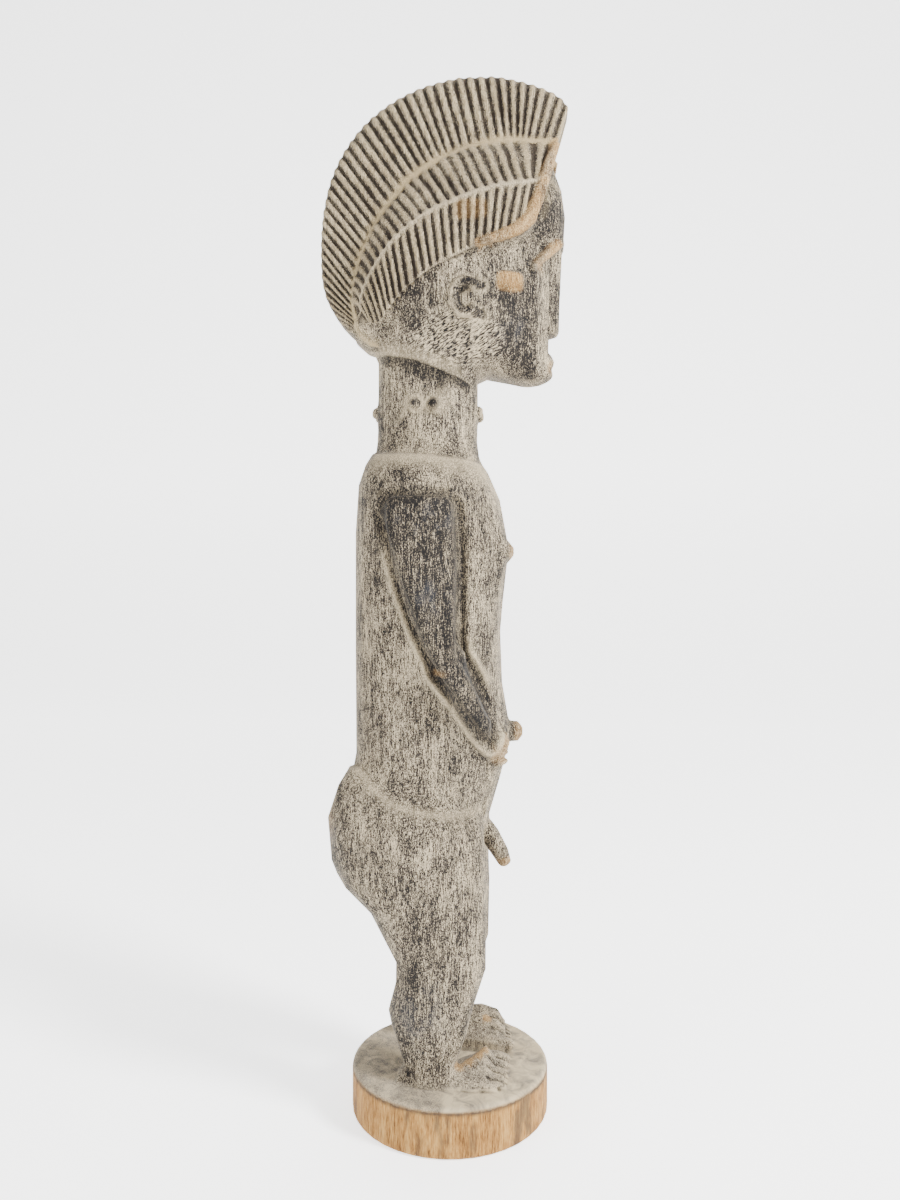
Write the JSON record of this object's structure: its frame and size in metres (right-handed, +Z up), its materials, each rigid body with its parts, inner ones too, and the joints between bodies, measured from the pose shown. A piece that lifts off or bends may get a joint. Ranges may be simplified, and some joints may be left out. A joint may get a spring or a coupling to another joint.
{
  "type": "spirit spouse figure",
  "caption": "Standing male spirit spouse figure with a combed, crested coiffure and hands on the belly, carved with its round base from one block of wood.",
  "frame": {"origin": "centre of the round base's underside", "axes": "+Z up along the standing figure, -Y the way that the figure faces, +X to the figure's own left"},
  "size_m": [0.083, 0.1058, 0.4376],
  "materials": {
    "wood": "weathered dark patina, dry matt grain with worn glossy places"
  },
  "bodies": {
    "root": {"figure": "wood"}
  },
  "joints": []
}
